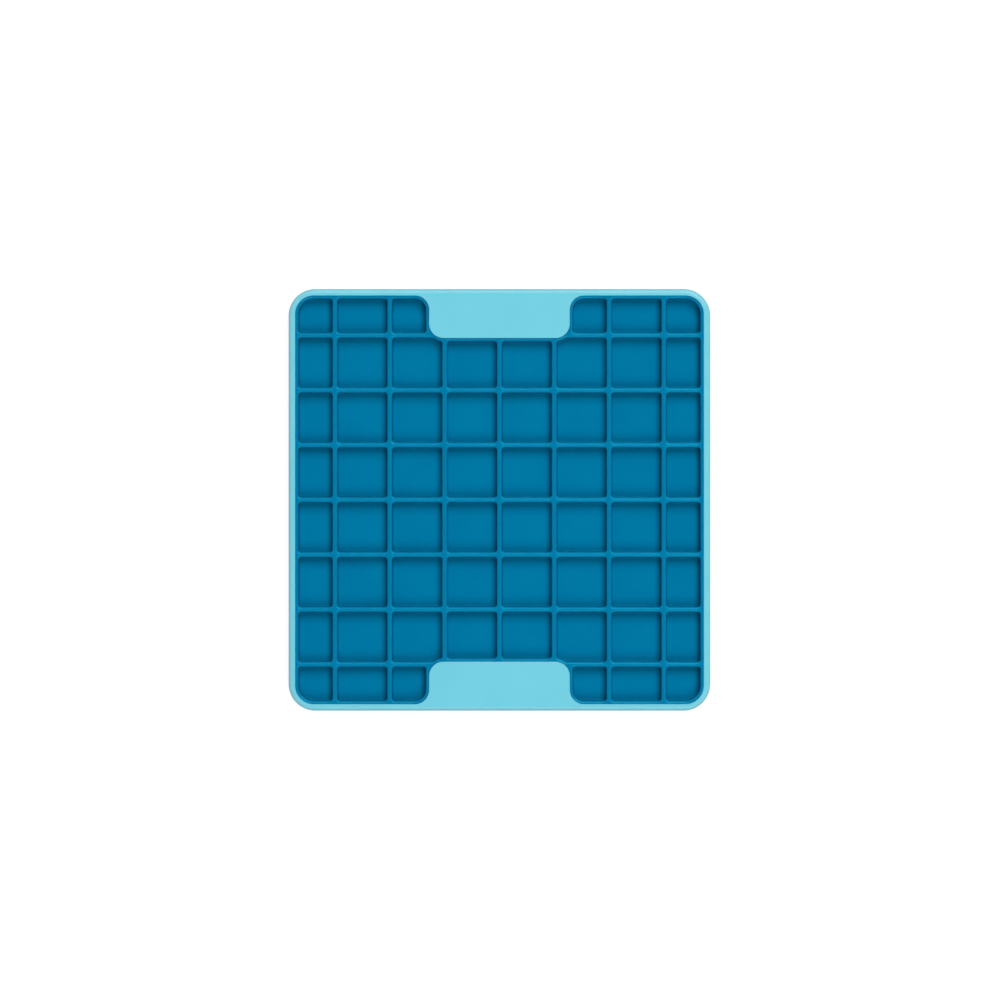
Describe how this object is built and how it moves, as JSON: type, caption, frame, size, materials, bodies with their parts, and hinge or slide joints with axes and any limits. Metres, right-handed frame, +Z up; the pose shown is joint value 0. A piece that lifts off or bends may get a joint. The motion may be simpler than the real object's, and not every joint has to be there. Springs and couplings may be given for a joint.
{
  "type": "lick mat",
  "caption": "Square pet lick mat: a hard plastic tray with a raised rim and flat side tabs around a soft rubber insert whose ribs form a grid of shallow square wells.",
  "frame": {"origin": "centre of the mat's flat underside", "axes": "+Z up out of the wells, +Y towards one of the tabs, +X along the tabs' length"},
  "size_m": [0.2, 0.2, 0.012],
  "materials": {
    "tray_plastic": "satin moulded plastic, light aqua",
    "insert_rubber": "soft matt moulded rubber, deep blue"
  },
  "bodies": {
    "root": {"tray": "tray_plastic", "insert": "insert_rubber"}
  },
  "joints": []
}
